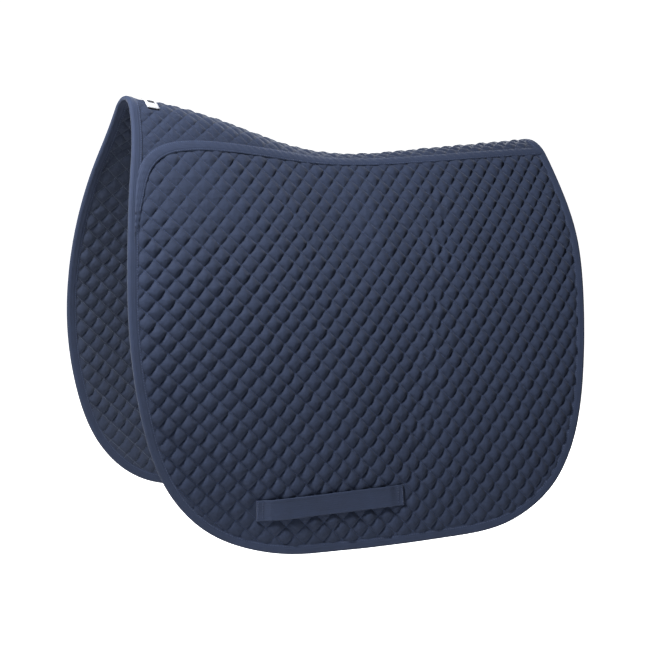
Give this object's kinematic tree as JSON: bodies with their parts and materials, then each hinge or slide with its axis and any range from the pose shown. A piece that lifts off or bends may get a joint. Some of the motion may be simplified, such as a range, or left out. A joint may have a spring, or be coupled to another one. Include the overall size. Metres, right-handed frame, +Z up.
{
  "type": "dressage saddle pad",
  "caption": "Quilted cotton dressage saddle pad with bound edges, shaped spine, seam tapes and a webbing girth loop on each flap.",
  "frame": {"origin": "under the middle of the spine, where the pad rests on the horse's back", "axes": "+Z up, +Y along the spine towards the horse's tail, +X towards the horse's left side"},
  "size_m": [0.4432, 0.6208, 0.5425],
  "materials": {
    "quilted_cover": "navy cotton twill, quilted, matt",
    "lining_cotton": "navy cotton twill, quilted, matt",
    "wadding": "white polyester wadding",
    "binding_tape": "navy woven cotton tape, matt",
    "webbing": "navy woven webbing, matt",
    "label_cloth": "white woven label, blank"
  },
  "bodies": {
    "spine": {"yoke_cover": "quilted_cover", "yoke_batting": "wadding", "yoke_lining": "lining_cotton", "withers_binding": "binding_tape", "cantle_binding": "binding_tape", "woven_label": "label_cloth"},
    "left_flap": {"left_panel_cover": "quilted_cover", "left_panel_batting": "wadding", "left_panel_lining": "lining_cotton", "left_yoke_cover": "quilted_cover", "left_yoke_batting": "wadding", "left_yoke_lining": "lining_cotton", "left_seam_tape": "binding_tape", "left_edge_binding": "binding_tape", "left_girth_loop": "webbing"},
    "right_flap": {"right_panel_cover": "quilted_cover", "right_panel_batting": "wadding", "right_panel_lining": "lining_cotton", "right_yoke_cover": "quilted_cover", "right_yoke_batting": "wadding", "right_yoke_lining": "lining_cotton", "right_seam_tape": "binding_tape", "right_edge_binding": "binding_tape", "right_girth_loop": "webbing"}
  },
  "joints": [
    {"name": "left_flap_swing", "type": "hinge", "parent": "spine", "child": "left_flap", "pos_m": [0.042, 0, 0.0095], "axis": [0.0276, -0.9988, 0.0396], "range_deg": [-10, 50]},
    {"name": "right_flap_swing", "type": "hinge", "parent": "spine", "child": "right_flap", "pos_m": [-0.042, 0, 0.0095], "axis": [0.0276, 0.9988, -0.0396], "range_deg": [-10, 50]}
  ]
}
